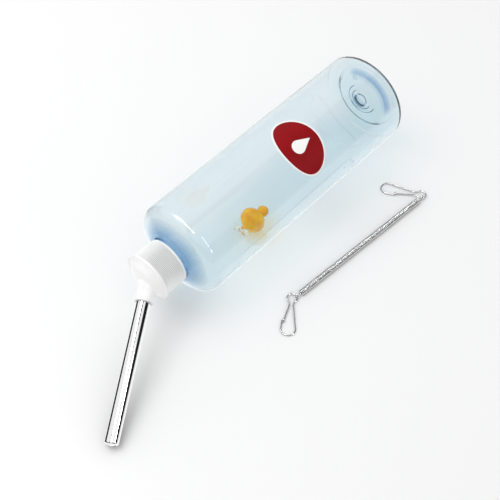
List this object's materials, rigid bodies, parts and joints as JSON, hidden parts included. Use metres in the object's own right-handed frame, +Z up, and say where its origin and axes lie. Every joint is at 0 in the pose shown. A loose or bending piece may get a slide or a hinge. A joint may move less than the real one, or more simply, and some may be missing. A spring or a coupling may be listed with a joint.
{
  "type": "rabbit water bottle",
  "caption": "Clear blue small-animal drinking bottle with a ribbed screw cap, an angled steel ball-valve tube, a float inside, and a spring holder with snap clips.",
  "frame": {"origin": "on the surface the bottle lies on, under the middle of the whole footprint (bottle and holder together)", "axes": "+X along the bottle's axis from the drinking tube to the base, +Z up from the surface; the holder lies on the -Y side"},
  "size_m": [0.3321, 0.1258, 0.0732],
  "materials": {
    "clear_blue_plastic": "clear, pale blue tint, glossy",
    "label_white": "satin film",
    "label_red": "printed, satin",
    "washer_rubber": "soft, matt",
    "white_plastic": "moulded, satin gloss",
    "tube_steel": "polished stainless",
    "ball_steel": "polished",
    "amber_plastic": "translucent, glossy",
    "clear_plastic": "clear, glossy",
    "spring_steel": "bright plated wire",
    "clip_steel": "bright plated wire"
  },
  "bodies": {
    "bottle": {"bottle_shell": "clear_blue_plastic", "label_film": "label_white", "label_print": "label_red"},
    "washer": {"sealing_washer": "washer_rubber"},
    "cap": {"screw_cap": "white_plastic", "drink_tube": "tube_steel"},
    "tip_ball": {"tip_ball": "ball_steel"},
    "upper_ball": {"upper_ball": "ball_steel"},
    "float": {"float_body": "amber_plastic", "float_head": "amber_plastic", "float_stem": "amber_plastic", "float_foot": "clear_plastic"},
    "holder": {"spring_coil": "spring_steel", "left_spring_hook": "spring_steel"},
    "spring_end": {"right_spring_hook": "spring_steel"},
    "left_clip": {"left_clip_wire": "clip_steel"},
    "left_gate": {"left_clip_gate": "clip_steel"},
    "right_clip": {"right_clip_wire": "clip_steel"},
    "right_gate": {"right_clip_gate": "clip_steel"}
  },
  "joints": [
    {"name": "cap_travel", "type": "slide", "parent": "bottle", "child": "washer", "axis": [-1, 0, 0], "range_m": [0, 0.00525]},
    {"name": "cap_turn", "type": "hinge", "parent": "washer", "child": "cap", "pos_m": [-0.06905, 0.02644, 0.0365], "axis": [-1, 0, 0], "range_deg": [0, 540]},
    {"name": "tip_ball_push", "type": "slide", "parent": "cap", "child": "tip_ball", "axis": [0.8141, 0.5103, 0.2771], "range_m": [0, 0.012]},
    {"name": "upper_ball_roll", "type": "slide", "parent": "tip_ball", "child": "upper_ball", "axis": [0.8141, 0.5103, 0.2771], "range_m": [0, 0.07]},
    {"name": "float_travel", "type": "slide", "parent": "bottle", "child": "float", "axis": [1, 0, 0], "range_m": [-0.055, 0.115]},
    {"name": "holder_lift", "type": "slide", "parent": "bottle", "child": "holder", "axis": [0, 0, 1], "range_m": [0, 0.1]},
    {"name": "spring_stretch", "type": "slide", "parent": "holder", "child": "spring_end", "axis": [0.9969, -0.0781, 0], "range_m": [0, 0.08], "stiffness_N_per_m": 25, "springref_m": -0.02, "deforming": ["spring_coil"]},
    {"name": "left_clip_swing", "type": "hinge", "parent": "holder", "child": "left_clip", "pos_m": [0.00175, -0.04243, 0.0014], "axis": [-0.025, -0.0175, 0.9995], "range_deg": [-150, 55]},
    {"name": "left_gate_flex", "type": "hinge", "parent": "left_clip", "child": "left_gate", "pos_m": [-0.00334, -0.0444, 0.00124], "axis": [-0.025, -0.0175, 0.9995], "range_deg": [0, 14], "stiffness_Nm_per_rad": 0.02, "springref_deg": -5.73},
    {"name": "right_clip_swing", "type": "hinge", "parent": "spring_end", "child": "right_clip", "pos_m": [0.1408, -0.05232, 0.00143], "axis": [-0.0145, 0.0278, 0.9995], "range_deg": [-190, 12]},
    {"name": "right_gate_flex", "type": "hinge", "parent": "right_clip", "child": "right_gate", "pos_m": [0.13719, -0.04823, 0.00126], "axis": [0.0145, -0.0278, -0.9995], "range_deg": [0, 14], "stiffness_Nm_per_rad": 0.02, "springref_deg": -5.73}
  ],
  "couplings": [
    {"joint": "cap_travel", "follows": "cap_turn", "m_per_rad": 0.00055704}
  ]
}
